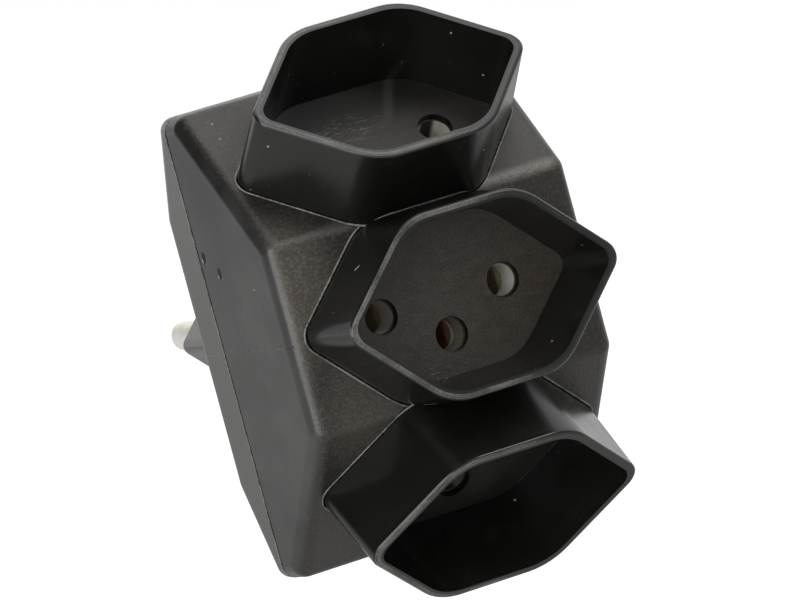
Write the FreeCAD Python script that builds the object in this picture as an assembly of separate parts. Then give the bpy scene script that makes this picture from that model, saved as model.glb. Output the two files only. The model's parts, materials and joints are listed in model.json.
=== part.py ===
import FreeCAD, Part
import math
import os

# Three way socket adapter with a plug behind: a wedge fronted housing of two mouldings,
# a socket block whose three hexagonal collars fan out through the front, and the brass inside.
# The plug's seating face is at the origin, +Y goes into the wall, +Z is up, X runs along the wall.

Vector = FreeCAD.Vector

# Plug and socket pattern, in millimetres
pin_pitch = 19.0            # live pin to neutral pin
earth_offset = 5.0          # how far the earth contact sits below their line
pin_radius = 2.0
pin_length = 19.0           # how far the pins stand out of the plug's face
pin_tip_bevel = 0.9
pin_root_radius = 2.4       # thicker root of each pin, flush with the plug's face
pin_foot_radius = 3.0       # tube that joins the earth pin to its bar

# Housing
half_width = 23.6           # at the seam, where the moulding draft starts
side_draft = 0.25           # how much narrower each half is at its far end
middle_facet_height = 26.3
facet_tilt = 42.1           # degrees that the outer facets lean back
facet_end_margin = 14.11    # middle of an outer socket to the end of its facet
end_flat = 6.15             # flat top and bottom of the housing, front to back
cover_end_flat = 2.6        # how much of that flat is behind the seam
rear_flat_height = 38.0
rear_chamfer_depth = 5.6    # how far the ends of the rear fall away
edge_radius = 2.2
fold_radius = 2.0
end_radius = 1.6
rear_fold_radius = 3.0
wall = 1.8
lap_depth = 2.2             # cover rim that reaches into the shell
lap_thickness = 1.2
seam_groove_width = 0.4
seam_groove_depth = 0.5

# Socket collars, measured to the sharp corners of their hexagons
socket_from_fold = 11.7     # fold line to the middle of an outer socket, along its facet
collar_height = 12.7
floor_sink = 0.15           # recess floor below the facet
rim_reach = 21.6
rim_half_height = 12.8
base_reach = 22.05
base_half_height = 13.05
recess_reach = 19.95
recess_half_height = 11.6
floor_reach = 19.65
floor_half_height = 10.45
tip_radius = 2.6
shoulder_radius = 8.6
lip_bevel = 0.35
collar_gap = 0.2            # between each collar and the opening it comes through
block_plate = 1.6           # plate of the socket block that lies inside the shell
hole_radius = 2.45
hole_depth = 1.0            # thickness of floor that shows in each hole
carrier_margin = 1.5        # moulding left round the holes behind each recess floor

# Contacts
ring_depth = 3.7
ring_inner_radius = 2.2
clip_gap = 4.06             # between the two leaves that grip a pin
clip_strip = 0.5
clip_width = 5.6
clip_flare = 0.5            # how far the tip of each leaf is bent outwards
clip_flare_length = 1.2
clip_clearance = 0.3        # between a ring and the tips of the leaves behind it
bar_thickness = 1.0
bar_width = 6.4
bar_margin = 4.4            # from the last contact to the bar's end
bar_bend_radius = 0.8
tip_clearance = 0.8         # from the tip of a plug's pin to the face of a power bar
earth_bar_depths = {"top": 14.5, "middle": 12.0, "bottom": 11.5}

# Plug boss behind the cover
boss_length = 16.3
boss_reach = 19.0
boss_half_height = 9.6
boss_draft = 0.3
boss_tip_radius = 1.5
boss_shoulder_radius = 6.0
boss_bevel = 0.5
boss_root = 3.4             # how far the boss reaches into the cover

# Derived positions
lean = math.radians(facet_tilt)
fold_z = middle_facet_height / 2
facet_rise = (socket_from_fold + facet_end_margin) * math.cos(lean)
half_height = fold_z + facet_rise
rear_y = -boss_length
seam_y = rear_y - rear_chamfer_depth - cover_end_flat
shoulder_y = rear_y - rear_chamfer_depth - end_flat
front_y = shoulder_y - facet_rise * math.tan(lean)
floor_y = front_y + floor_sink
ring_low = -hole_depth - ring_depth
power_bar_depth = pin_length + tip_clearance
power_bar_depths = {name: power_bar_depth for name in earth_bar_depths}
contact_places = {
    "live": (-pin_pitch / 2, 0.0),
    "neutral": (pin_pitch / 2, 0.0),
    "earth": (0.0, -earth_offset),
}
socket_tilts = {"top": facet_tilt, "middle": 0.0, "bottom": -facet_tilt}


# Flat outlines

def corner_arc(before, corner, after, radius):
    """Start, middle and end of the arc that rounds one corner."""
    back = (before - corner).normalize()
    ahead = (after - corner).normalize()
    half_angle = back.getAngle(ahead) / 2
    reach = radius / math.tan(half_angle)
    inward = (back + ahead).normalize()
    middle = corner + inward * (radius / math.sin(half_angle) - radius)
    return corner + back * reach, middle, corner + ahead * reach


def rounded_wire(corners, radii):
    """Closed wire through the corners, with each corner rounded by its own radius."""
    arcs = []
    for place, corner in enumerate(corners):
        following = corners[(place + 1) % len(corners)]
        if radii[place] > 0:
            arcs.append(corner_arc(corners[place - 1], corner, following, radii[place]))
        else:
            arcs.append((corner,))
    edges = []
    for place, arc in enumerate(arcs):
        if len(arc) == 3:
            edges.append(Part.Arc(*arc).toShape())
        edges.append(Part.makeLine(arc[-1], arcs[(place + 1) % len(arcs)][0]))
    return Part.Wire(edges)


def inset_outline(corners, distance):
    """Corners of the outline that lies the distance inside a convex one drawn anticlockwise."""
    sides = []
    for place, corner in enumerate(corners):
        run = (corners[(place + 1) % len(corners)] - corner).normalize()
        sides.append((corner + Vector(-run.y, run.x, 0) * distance, run))
    return [meeting_point(*sides[place - 1], *sides[place]) for place in range(len(sides))]


def meeting_point(start, run, other_start, other_run):
    """Where two lines in one plane cross."""
    across = run.x * other_run.y - run.y * other_run.x
    gap = other_start - start
    along = (gap.x * other_run.y - gap.y * other_run.x) / across
    return start + run * along


def hexagon_corners(reach, half_tall, level):
    """Corners of a long hexagon with square points, lying at one level."""
    flat = reach - half_tall
    return [Vector(reach, 0, level), Vector(flat, half_tall, level), Vector(-flat, half_tall, level),
            Vector(-reach, 0, level), Vector(-flat, -half_tall, level), Vector(flat, -half_tall, level)]


def hexagon_block(lower, upper, tip, shoulder):
    """Tapered solid between two hexagons, each given as reach, half height and level, with its
    two points and its four shoulders rounded along their whole length."""
    low = hexagon_corners(*lower)
    high = hexagon_corners(*upper)
    faces = [flat_face(low[::-1]), flat_face(high)]
    for place in range(6):
        after = (place + 1) % 6
        faces.append(flat_face([low[place], low[after], high[after], high[place]]))
    shell = Part.makeShell(faces)
    shell.sewShape()
    block = Part.makeSolid(shell)
    for places, radius in (((0, 3), tip), ((1, 2, 4, 5), shoulder)):
        edges = [edge_near(block, (low[place] + high[place]) / 2) for place in places]
        block = block.makeFillet(radius, edges)
    return block


def edge_near(solid, point):
    """Edge of a solid that passes nearest to a point."""
    spot = Part.Vertex(point)
    return min(solid.Edges, key=lambda edge: edge.distToShape(spot)[0])


def flat_face(corners):
    """Flat face through its corners."""
    return Part.Face(Part.makePolygon(corners + corners[:1]))


# Housing body

def side_outline():
    """Corners of the housing seen from the side, as Y and Z, anticlockwise."""
    end_y = rear_y - rear_chamfer_depth
    rear_z = rear_flat_height / 2
    upper = [(rear_y, rear_z), (end_y, half_height), (shoulder_y, half_height), (front_y, fold_z)]
    lower = [(y, -z) for y, z in reversed(upper)]
    return [Vector(y, z, 0) for y, z in upper + lower]


def body_solid(inset, edge):
    """Housing body without its collars and boss, drawn in by the inset and with rounded sides."""
    radii = [rear_fold_radius, end_radius, end_radius, fold_radius]
    radii = [max(radius - inset, 0.3) for radius in radii + radii[::-1]]
    profile = Part.Face(rounded_wire(inset_outline(side_outline(), inset), radii))
    profile.Placement = side_placement(-half_width - 1)
    across = profile.extrude(Vector(2 * half_width + 2, 0, 0))
    wide = half_width - inset
    narrow = wide - side_draft
    plan = [(wide, seam_y), (narrow, rear_y + 1), (-narrow, rear_y + 1), (-wide, seam_y),
            (-narrow, front_y - 1), (narrow, front_y - 1)]
    outline = rounded_wire([Vector(x, y, -half_height - 1) for x, y in plan], [0] * len(plan))
    body = across.common(Part.Face(outline).extrude(Vector(0, 0, 2 * half_height + 2)))
    if not edge:
        return body
    return body.makeFillet(edge, side_edges(body))


def side_placement(level):
    """Puts an outline drawn as Y and Z on the plane across X at one level."""
    turn = FreeCAD.Rotation(Vector(0, 1, 0), Vector(0, 0, 1), Vector(1, 0, 0), "XYZ")
    return FreeCAD.Placement(Vector(level, 0, 0), turn)


def side_edges(body):
    """Edges that run round the two sides of the body, without the seam line across them."""
    found = []
    for edge in body.Edges:
        box = edge.BoundBox
        beside = min(abs(box.XMin), abs(box.XMax)) > half_width - side_draft - 1
        across_side = box.ZLength > half_height
        if beside and not (across_side and box.YLength < 0.1 and abs(box.YMin - seam_y) < 0.1):
            found.append(edge)
    return found


def slab(low_y, high_y):
    """Large block between two planes across Y."""
    return Part.makeBox(200, high_y - low_y, 200, Vector(-100, low_y, -100))


# Sockets

def socket_placement(name):
    """Puts a shape drawn on a recess floor, facing up, on the named socket."""
    tilt = math.radians(socket_tilts[name])
    side = (tilt > 0) - (tilt < 0)
    outward = Vector(0, -math.cos(tilt), math.sin(tilt))
    along = Vector(0, math.sin(lean), math.cos(lean) * side) * socket_from_fold
    fold = Vector(0, front_y, fold_z * side)
    place = fold + along * abs(side) - outward * floor_sink
    return FreeCAD.Placement(place, FreeCAD.Rotation(Vector(1, 0, 0), 90 - socket_tilts[name]))


def on_socket(shape, name):
    """Copy of a shape moved from its drawing place to the named socket."""
    moved = shape.copy()
    moved.Placement = socket_placement(name).multiply(shape.Placement)
    return moved


def bevelled_top(reach, half_tall, top, low, tip, shoulder):
    """Block whose sides rise at 45 degrees to a hexagon at the top level. Its edges are rounded
    more widely than the upright ones that it trims, so that both look alike from above."""
    drop = top - low
    wide = (reach + drop * math.sqrt(2), half_tall + drop, low)
    return hexagon_block(wide, (reach, half_tall, top), tip * 1.5, shoulder * 1.44)


def collar_outside(grow):
    """Outside of one collar and of its neck below the facet, grown all round."""
    drop = wall + 0.6
    out = (base_reach - rim_reach) / collar_height * drop
    up = (base_half_height - rim_half_height) / collar_height * drop
    neck = (base_reach + grow + out, base_half_height + grow + up, floor_sink - drop)
    rim = (rim_reach + grow, rim_half_height + grow, floor_sink + collar_height)
    return hexagon_block(neck, rim, tip_radius, shoulder_radius)


def collar():
    """One collar with the bevel round its rim."""
    inset = lip_bevel * math.sqrt(2)
    top = floor_sink + collar_height
    trim = bevelled_top(rim_reach - inset, rim_half_height - lip_bevel, top, -wall - 1,
                        tip_radius - lip_bevel, shoulder_radius - lip_bevel)
    return collar_outside(0).common(trim)


def recess():
    """Space inside one collar, wider at its mouth than at its floor, with a bevelled lip."""
    level = floor_sink + collar_height
    slope = (recess_reach - floor_reach) / level
    over = level + 1
    rise = (recess_half_height - floor_half_height) / level
    mouth = (recess_reach + slope, recess_half_height + rise, over)
    floor = (floor_reach, floor_half_height, 0.0)
    space = hexagon_block(floor, mouth, tip_radius - 0.6, shoulder_radius - 1)
    flare = bevelled_top(recess_reach - math.sqrt(2), recess_half_height - 1, lip_bevel - 1 - level, -over,
                         tip_radius - 0.6, shoulder_radius - 1)
    flare.rotate(Vector(0, 0, 0), Vector(1, 0, 0), 180)
    return space.fuse(flare)


def contact_cylinder(place, radius, low, high):
    """Upright cylinder at one contact place of a recess floor."""
    return Part.makeCylinder(radius, high - low, Vector(place[0], place[1], low))


def carrier():
    """Thick part behind one recess floor that holds the rings of its three holes."""
    reach = hole_radius + carrier_margin
    width = pin_pitch + 2 * reach
    height = earth_offset + 2 * reach
    return Part.makeBox(width, height, -wall - ring_low, Vector(-width / 2, -earth_offset - reach, ring_low))


def socket_block():
    """One moulding with the three collars, their recess floors and the carriers behind them."""
    block = body_solid(wall, 0).cut(body_solid(wall + block_plate, 0))
    block = block.common(slab(front_y - 1, seam_y - lap_depth))
    for name in socket_tilts:
        block = block.fuse([on_socket(collar(), name), on_socket(carrier(), name)])
    for name in socket_tilts:
        block = block.cut(on_socket(recess(), name))
        for place in contact_places.values():
            block = block.cut(on_socket(contact_cylinder(place, hole_radius, ring_low - 1, 1), name))
    return block.removeSplitter()


def front_shell():
    """Outer front moulding, open behind, with one opening shaped by the three collars."""
    shell = body_solid(0, edge_radius).common(slab(front_y - 1, seam_y))
    shell = shell.cut([body_solid(wall, 0), seam_groove()])
    for name in socket_tilts:
        shell = shell.cut(on_socket(collar_outside(collar_gap), name))
    return shell.removeSplitter()


def seam_groove():
    """Fine groove round the housing, half of it in each moulding."""
    skin = body_solid(0, 0).cut(body_solid(seam_groove_depth, edge_radius))
    return skin.common(slab(seam_y - seam_groove_width / 2, seam_y + seam_groove_width / 2))


# Rear cover and plug

def plug_boss():
    """Solid hexagonal boss that carries the pins, narrower towards its face."""
    low = rear_y - boss_root
    grow = boss_draft * (boss_length + boss_root) / boss_length
    root = (boss_reach + grow, boss_half_height + grow, low)
    sides = hexagon_block(root, (boss_reach, boss_half_height, 0), boss_tip_radius, boss_shoulder_radius)
    trim = bevelled_top(boss_reach - boss_bevel * math.sqrt(2), boss_half_height - boss_bevel, 0, low - 1,
                        boss_tip_radius - boss_bevel, boss_shoulder_radius - boss_bevel)
    boss = sides.common(trim)
    boss.Placement = FreeCAD.Placement(Vector(0, 0, 0), FreeCAD.Rotation(Vector(1, 0, 0), -90))
    return boss


def rear_cylinder(place, radius, low, high):
    """Cylinder along Y behind one contact place of the middle socket."""
    return Part.makeCylinder(radius, high - low, Vector(place[0], low, place[1]), Vector(0, 1, 0))


def rear_cover():
    """Rear moulding with its rim that laps into the shell and the plug boss behind."""
    cover = body_solid(0, edge_radius).common(slab(seam_y, rear_y + 1))
    cover = cover.cut([body_solid(wall, 0), seam_groove()])
    rim = body_solid(wall, 0).cut(body_solid(wall + lap_thickness, 0))
    rim = rim.common(slab(seam_y - lap_depth, seam_y + wall))
    cover = cover.fuse([rim, plug_boss()])
    for place in contact_places.values():
        cover = cover.cut(rear_cylinder(place, pin_root_radius, rear_y - 2 * boss_root, 1))
    return cover.removeSplitter()


def bar_back(name, depths):
    """How far behind the recess floor the rear face of a bar lies."""
    return depths[name] + bar_thickness


def plug_pin(kind):
    """Turned pin that stands on its bar. A bar in front of the tips of the plug in the middle
    socket is reached by a tube that takes the tip."""
    depths = earth_bar_depths if kind == "earth" else power_bar_depths
    place = contact_places[kind]
    start = floor_y + bar_back("middle", depths)
    tip_end = floor_y + pin_length + tip_clearance
    shank = rear_cylinder(place, pin_radius, -1, pin_length)
    tip = [edge for edge in shank.Edges if edge.BoundBox.YMin > pin_length - 0.01]
    root = rear_cylinder(place, pin_root_radius, max(start, tip_end), 0)
    pin = shank.makeChamfer(pin_tip_bevel, tip).fuse(root)
    if start < tip_end:
        pin = pin.fuse(rear_cylinder(place, pin_foot_radius, start, tip_end + 1))
        pin = pin.cut(rear_cylinder(place, ring_inner_radius, start - 1, tip_end))
    return pin.removeSplitter()


# Contacts and bars

def lead_ring(name, kind):
    """Plated ring pressed into a hole, a little behind the recess floor."""
    place = contact_places[kind]
    ring = contact_cylinder(place, hole_radius, ring_low, -hole_depth)
    return on_socket(ring.cut(contact_cylinder(place, ring_inner_radius, ring_low - 1, 1)), name)


def clip_side(side, back, front):
    """Corners of one leaf of a clip, from its foot to its flared tip and back down."""
    inner = side * clip_gap / 2
    outer = inner + side * clip_strip
    bend = front - clip_flare_length
    bent = side * clip_flare
    up = [Vector(outer, 0, back), Vector(outer, 0, bend), Vector(outer + bent, 0, front)]
    return up + [Vector(inner + bent, 0, front), Vector(inner, 0, bend), Vector(inner, 0, back + clip_strip)]


def contact_clamp(name, kind):
    """Clip of folded strip whose two leaves grip one pin of a plug, with its foot on the bar."""
    depths = earth_bar_depths if kind == "earth" else power_bar_depths
    place = contact_places[kind]
    back = -depths[name]
    front = ring_low - clip_clearance
    clip = flat_face(clip_side(1, back, front) + clip_side(-1, back, front)[::-1])
    clip = clip.extrude(Vector(0, clip_width, 0))
    clip.translate(Vector(place[0], place[1] - clip_width / 2, 0))
    if depths[name] < pin_length:
        clip = clip.cut(contact_cylinder(place, ring_inner_radius, back - 1, back + 1))
    return on_socket(clip, name)


def bar_side(kind, depths, extra):
    """Corners of one side of a bent bar, from its top end to its bottom end, as Y and Z."""
    below = contact_places[kind][1]
    lines = {}
    for name in socket_tilts:
        placement = socket_placement(name)
        middle = placement.multVec(Vector(0, below, -depths[name] - extra))
        along = placement.Rotation.multVec(Vector(0, 1, 0))
        lines[name] = (Vector(middle.y, middle.z, 0), Vector(along.y, along.z, 0))
    top, bottom = lines["top"], lines["bottom"]
    return [top[0] + top[1] * bar_margin, meeting_point(*top, *lines["middle"]),
            meeting_point(*lines["middle"], *bottom), bottom[0] - bottom[1] * bar_margin]


def contact_bar(kind):
    """Strip folded to lie square behind all three sockets, with a hole where a pin goes through."""
    depths = earth_bar_depths if kind == "earth" else power_bar_depths
    front = bar_side(kind, depths, 0)
    back = bar_side(kind, depths, bar_thickness)
    bend = bar_bend_radius
    radii = [0, bend + bar_thickness, bend + bar_thickness, 0, 0, bend, bend, 0]
    profile = Part.Face(rounded_wire(front + back[::-1], radii))
    profile.Placement = side_placement(contact_places[kind][0] - bar_width / 2)
    bar = profile.extrude(Vector(bar_width, 0, 0))
    for name in socket_tilts:
        if depths[name] < pin_length:
            hole = contact_cylinder(contact_places[kind], ring_inner_radius, -bar_back(name, depths) - 1,
                                    -depths[name] + 1)
            bar = bar.cut(on_socket(hole, name))
    return bar


def build():
    """Every piece of the adapter by name."""
    pieces = {"front_shell": front_shell(), "socket_block": socket_block(), "rear_cover": rear_cover()}
    for kind in contact_places:
        pieces[kind + "_pin"] = plug_pin(kind)
        pieces[kind + "_bar"] = contact_bar(kind)
        for name in socket_tilts:
            pieces[name + "_" + kind + "_ring"] = lead_ring(name, kind)
            pieces[name + "_" + kind + "_clamp"] = contact_clamp(name, kind)
    return pieces


os.makedirs("parts", exist_ok=True)
for node, shape in build().items():
    shape.exportStep("parts/" + node + ".step")
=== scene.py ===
import json
import logging
import math
from dataclasses import dataclass, field
from enum import Enum
from functools import reduce
from typing import Iterable, Mapping, Optional, Sequence, Union

import bmesh
import bpy
from mathutils import Matrix, Vector


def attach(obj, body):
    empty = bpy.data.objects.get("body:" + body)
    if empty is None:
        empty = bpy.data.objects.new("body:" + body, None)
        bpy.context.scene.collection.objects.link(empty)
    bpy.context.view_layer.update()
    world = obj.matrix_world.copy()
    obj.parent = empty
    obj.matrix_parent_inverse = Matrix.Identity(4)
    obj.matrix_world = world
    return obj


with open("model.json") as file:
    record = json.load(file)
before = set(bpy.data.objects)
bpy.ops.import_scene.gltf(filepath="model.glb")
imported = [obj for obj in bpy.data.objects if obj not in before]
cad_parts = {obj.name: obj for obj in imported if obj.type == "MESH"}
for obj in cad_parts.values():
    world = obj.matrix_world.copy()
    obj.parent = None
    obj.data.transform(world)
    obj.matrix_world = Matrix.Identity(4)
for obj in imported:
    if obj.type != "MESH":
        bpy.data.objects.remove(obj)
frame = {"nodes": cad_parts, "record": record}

log = logging.getLogger("socket adapter")
MM = 0.001
PLASTIC_IOR = 1.5
ACROSS = Vector((1.0, 0.0, 0.0))
Colour = tuple[float, float, float]
Place = tuple[float, float, float]


class Slot(Enum):
    """Material slots of the record."""

    HOUSING = "housing"
    SOCKET = "socket"
    NICKEL = "nickel"
    BRASS = "brass"


class Tilt(Enum):
    """Which way a socket faces."""

    TOP = 1
    MIDDLE = 0
    BOTTOM = -1


# Shader building


class Link:
    """An output of a shader node. Its operators and methods add Math and Vector Math nodes."""

    def __init__(self, shader: "Shader", socket: bpy.types.NodeSocket) -> None:
        """Wraps one output socket of a shader's node."""
        self.shader = shader
        self.socket = socket

    def _math(self, operation: str, first: "Value", second: "Value") -> "Link":
        """One Math node on two values."""
        return self.shader.node("ShaderNodeMath", {"operation": operation}, {0: first, 1: second})

    def __add__(self, other: "Value") -> "Link":
        """Sum."""
        return self._math("ADD", self, other)

    __radd__ = __add__

    def __sub__(self, other: "Value") -> "Link":
        """Difference."""
        return self._math("SUBTRACT", self, other)

    def __rsub__(self, other: "Value") -> "Link":
        """Difference from a number."""
        return self._math("SUBTRACT", other, self)

    def __mul__(self, other: "Value") -> "Link":
        """Product."""
        return self._math("MULTIPLY", self, other)

    __rmul__ = __mul__

    def __abs__(self) -> "Link":
        """Absolute value."""
        return self._math("ABSOLUTE", self, 0.0)

    def at_least(self, other: "Value") -> "Link":
        """The larger of two values."""
        return self._math("MAXIMUM", self, other)

    def below(self, limit: float) -> "Link":
        """1 where the value is under the limit."""
        return self._math("LESS_THAN", self, limit)

    def part(self, axis: str) -> "Link":
        """The X, Y or Z of a vector."""
        return self.shader.node("ShaderNodeSeparateXYZ", None, {0: self}, output=axis)

    def minus(self, place: "Value") -> "Link":
        """Way from a place to this one."""
        return self.shader.vector("SUBTRACT", self, place)

    def dot(self, way: "Value") -> "Link":
        """How far a vector runs along a way of length 1."""
        return self.shader.vector("DOT_PRODUCT", self, way)

    def length(self) -> "Link":
        """Length of a vector."""
        return self.shader.vector("LENGTH", self)

    def distance(self, place: "Value", weights: Optional[Place] = None) -> "Link":
        """Distance from a place.

        Args:
            place: where it is measured from.
            weights: how much each axis counts, all alike if none are given.

        Returns:
            The distance.
        """
        if weights is None:
            return self.shader.vector("DISTANCE", self, place)
        return self.shader.vector("MULTIPLY", self.minus(place), weights).length()


Value = Union[Link, float, int, Sequence[float]]


class Shader:
    """Node graph of one material or of the world."""

    def __init__(self, tree: bpy.types.NodeTree) -> None:
        """Starts from an empty node tree."""
        tree.nodes.clear()
        self.tree = tree

    def node(
        self,
        kind: str,
        settings: Optional[Mapping[str, object]] = None,
        inputs: Optional[Mapping[Union[str, int], Value]] = None,
        output: Union[str, int] = 0,
    ) -> Link:
        """Adds a node.

        Args:
            kind: Blender's name of the node type.
            settings: its options, set before anything is linked.
            inputs: numbers, colours, vectors or links for its sockets, by name or place.
            output: the output that is returned.

        Returns:
            The chosen output as a link, or the first input of a node that has no output.
        """
        made = self.tree.nodes.new(kind)
        for name, value in (settings or {}).items():
            setattr(made, name, value)
        for name, value in (inputs or {}).items():
            target = made.inputs[name]
            if isinstance(value, Link):
                self.tree.links.new(value.socket, target)
            elif isinstance(value, (int, float)):
                target.default_value = value
            else:
                opaque = (*value, 1.0)
                target.default_value = opaque[:len(target.default_value)]
        sockets = made.outputs if len(made.outputs) else made.inputs
        return Link(self, sockets[output])

    def place(self) -> Link:
        """Place on the object, in millimetres."""
        spot = self.node("ShaderNodeTexCoord", output="Object")
        return self.vector("SCALE", spot, Scale=1 / MM)

    def facing(self) -> Link:
        """Way the surface faces, as seen from the object."""
        return self.node("ShaderNodeTexCoord", output="Normal")

    def vector(self, operation: str, *values: Value, **named: Value) -> Link:
        """Vector Math on some values.

        Args:
            operation: Blender's name of the operation.
            values: what it works on, in order.
            named: values for sockets that are reached by name.

        Returns:
            A vector, or a number for dot products, lengths and distances.
        """
        inputs: dict[Union[str, int], Value] = dict(enumerate(values))
        inputs.update(named)
        output = "Value" if operation in ("DOT_PRODUCT", "LENGTH", "DISTANCE") else "Vector"
        return self.node("ShaderNodeVectorMath", {"operation": operation}, inputs, output)

    def mix(self, factor: Value, first: Value, second: Value) -> Link:
        """Mix of two colours."""
        inputs = {0: factor, 6: first, 7: second}
        return self.node("ShaderNodeMix", {"data_type": "RGBA"}, inputs, output=2)

    def bump(self, height: Value, distance: float) -> Link:
        """Bump from a height between 0 and 1, with its full depth in millimetres."""
        inputs = {"Height": height, "Distance": distance * MM, "Strength": 1.0}
        return self.node("ShaderNodeBump", None, inputs, output="Normal")

    def surface(self, **inputs: Value) -> None:
        """Closes the graph with a Principled surface.

        Args:
            inputs: its values, with underscores for the spaces in their names.
        """
        values = {name.replace("_", " "): value for name, value in inputs.items()}
        shown = self.node("ShaderNodeBsdfPrincipled", None, values, output="BSDF")
        self.node("ShaderNodeOutputMaterial", None, {"Surface": shown})


def any_of(masks: Iterable[Link]) -> Link:
    """The largest of several masks."""
    return reduce(Link.at_least, masks)


@dataclass(frozen=True)
class Ramp:
    """Smooth step from one value to another between two limits, in either order."""

    low: float
    high: float
    start: float = 0.0
    end: float = 1.0

    def of(self, value: Link) -> Link:
        """The step of a value."""
        inputs = {0: value, 1: self.low, 2: self.high, 3: self.start, 4: self.end}
        return value.shader.node("ShaderNodeMapRange", {"interpolation_type": "SMOOTHSTEP"}, inputs)


@dataclass(frozen=True)
class Noise:
    """Cloudy noise from 0 to 1, mostly near 0.5, stretched along the axes where it makes streaks."""

    scale: float
    detail: float
    roughness: float
    stretch: Optional[Place] = None
    turn: Place = (0.0, 0.0, 0.0)

    def on(self, spot: Link) -> Link:
        """Adds the noise.

        Args:
            spot: place on the object.

        Returns:
            The noise there.
        """
        if self.stretch is not None:
            turned = {"Vector": spot, "Rotation": self.turn, "Scale": self.stretch}
            spot = spot.shader.node("ShaderNodeMapping", {"vector_type": "POINT"}, turned)
        inputs = {"Vector": spot, "Scale": self.scale, "Detail": self.detail, "Roughness": self.roughness}
        return spot.shader.node("ShaderNodeTexNoise", None, inputs)


@dataclass(frozen=True)
class Patch:
    """Patch that is full in its core and fades to nothing at its reach, in millimetres."""

    place: Place
    reach: float
    core: float
    share: float = 1.0
    weights: Optional[Place] = None

    def on(self, spot: Link) -> Link:
        """Share of the patch at a place."""
        return Ramp(self.reach, self.core, 0.0, self.share).of(spot.distance(self.place, self.weights))


@dataclass(frozen=True)
class Flecks:
    """Equal small patches at several places, in millimetres."""

    places: tuple[Place, ...]
    reach: float
    core: float
    weights: Optional[Place] = None

    def on(self, spot: Link) -> Link:
        """1 on any of them."""
        patches = (Patch(place, self.reach, self.core, weights=self.weights) for place in self.places)
        return any_of(patch.on(spot) for patch in patches)


@dataclass(frozen=True)
class Specks:
    """Sparse round specks, scattered over cells."""

    cells_per_mm: float
    share_of_cells: float
    radius: float
    core: float = 0.4

    def on(self, spot: Link) -> Link:
        """Adds the specks.

        Args:
            spot: place on the object.

        Returns:
            1 on a speck and 0 elsewhere.
        """
        shader = spot.shader
        cells = {"Vector": spot, "Scale": self.cells_per_mm, "Randomness": 1.0}
        distance = shader.node("ShaderNodeTexVoronoi", {"feature": "F1"}, cells, output="Distance")
        colour = shader.node("ShaderNodeTexVoronoi", {"feature": "F1"}, cells, output="Color")
        chance = shader.node("ShaderNodeSeparateColor", None, {0: colour})
        return Ramp(self.radius, self.radius * self.core).of(distance) * chance.below(self.share_of_cells)


def new_material(name: str) -> tuple[bpy.types.Material, Shader]:
    """Starts a material.

    Args:
        name: name of the material.

    Returns:
        The material and its empty graph.
    """
    material = bpy.data.materials.new(name)
    material.use_nodes = True
    return material, Shader(material.node_tree)


# Sizes shared by the sockets


@dataclass(frozen=True)
class HousingLines:
    """Measured lines of the housing, in millimetres."""

    facet_tilt: float = 42.1
    fold_height: float = 13.15
    front: float = -45.354
    socket_from_fold: float = 11.7
    floor_sink: float = 0.15
    seam: float = -24.5

    def facing(self, tilt: Tilt) -> Vector:
        """The way a socket faces."""
        angle = math.radians(self.facet_tilt) * tilt.value
        return Vector((0.0, -math.cos(angle), math.sin(angle)))

    def floor_middle(self, tilt: Tilt) -> Vector:
        """Finds the middle of a recess floor.

        Args:
            tilt: which socket.

        Returns:
            Its place in millimetres.
        """
        fold = Vector((0.0, self.front, self.fold_height * tilt.value))
        run = self.upward(tilt) * (self.socket_from_fold * tilt.value)
        return fold + run - self.facing(tilt) * self.floor_sink

    def upward(self, tilt: Tilt) -> Vector:
        """The way up along a recess floor."""
        angle = math.radians(self.facet_tilt) * tilt.value
        return Vector((0.0, math.sin(angle), math.cos(angle)))

    def matrix(self, tilt: Tilt) -> Matrix:
        """Turns and moves points drawn on a recess floor, in millimetres, to the socket, in metres."""
        turn = Matrix((ACROSS, self.upward(tilt), self.facing(tilt))).transposed().to_4x4()
        return Matrix.Translation(self.floor_middle(tilt) * MM) @ turn @ Matrix.Scale(MM, 4)


LINES = HousingLines()


# Finishes


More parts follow.
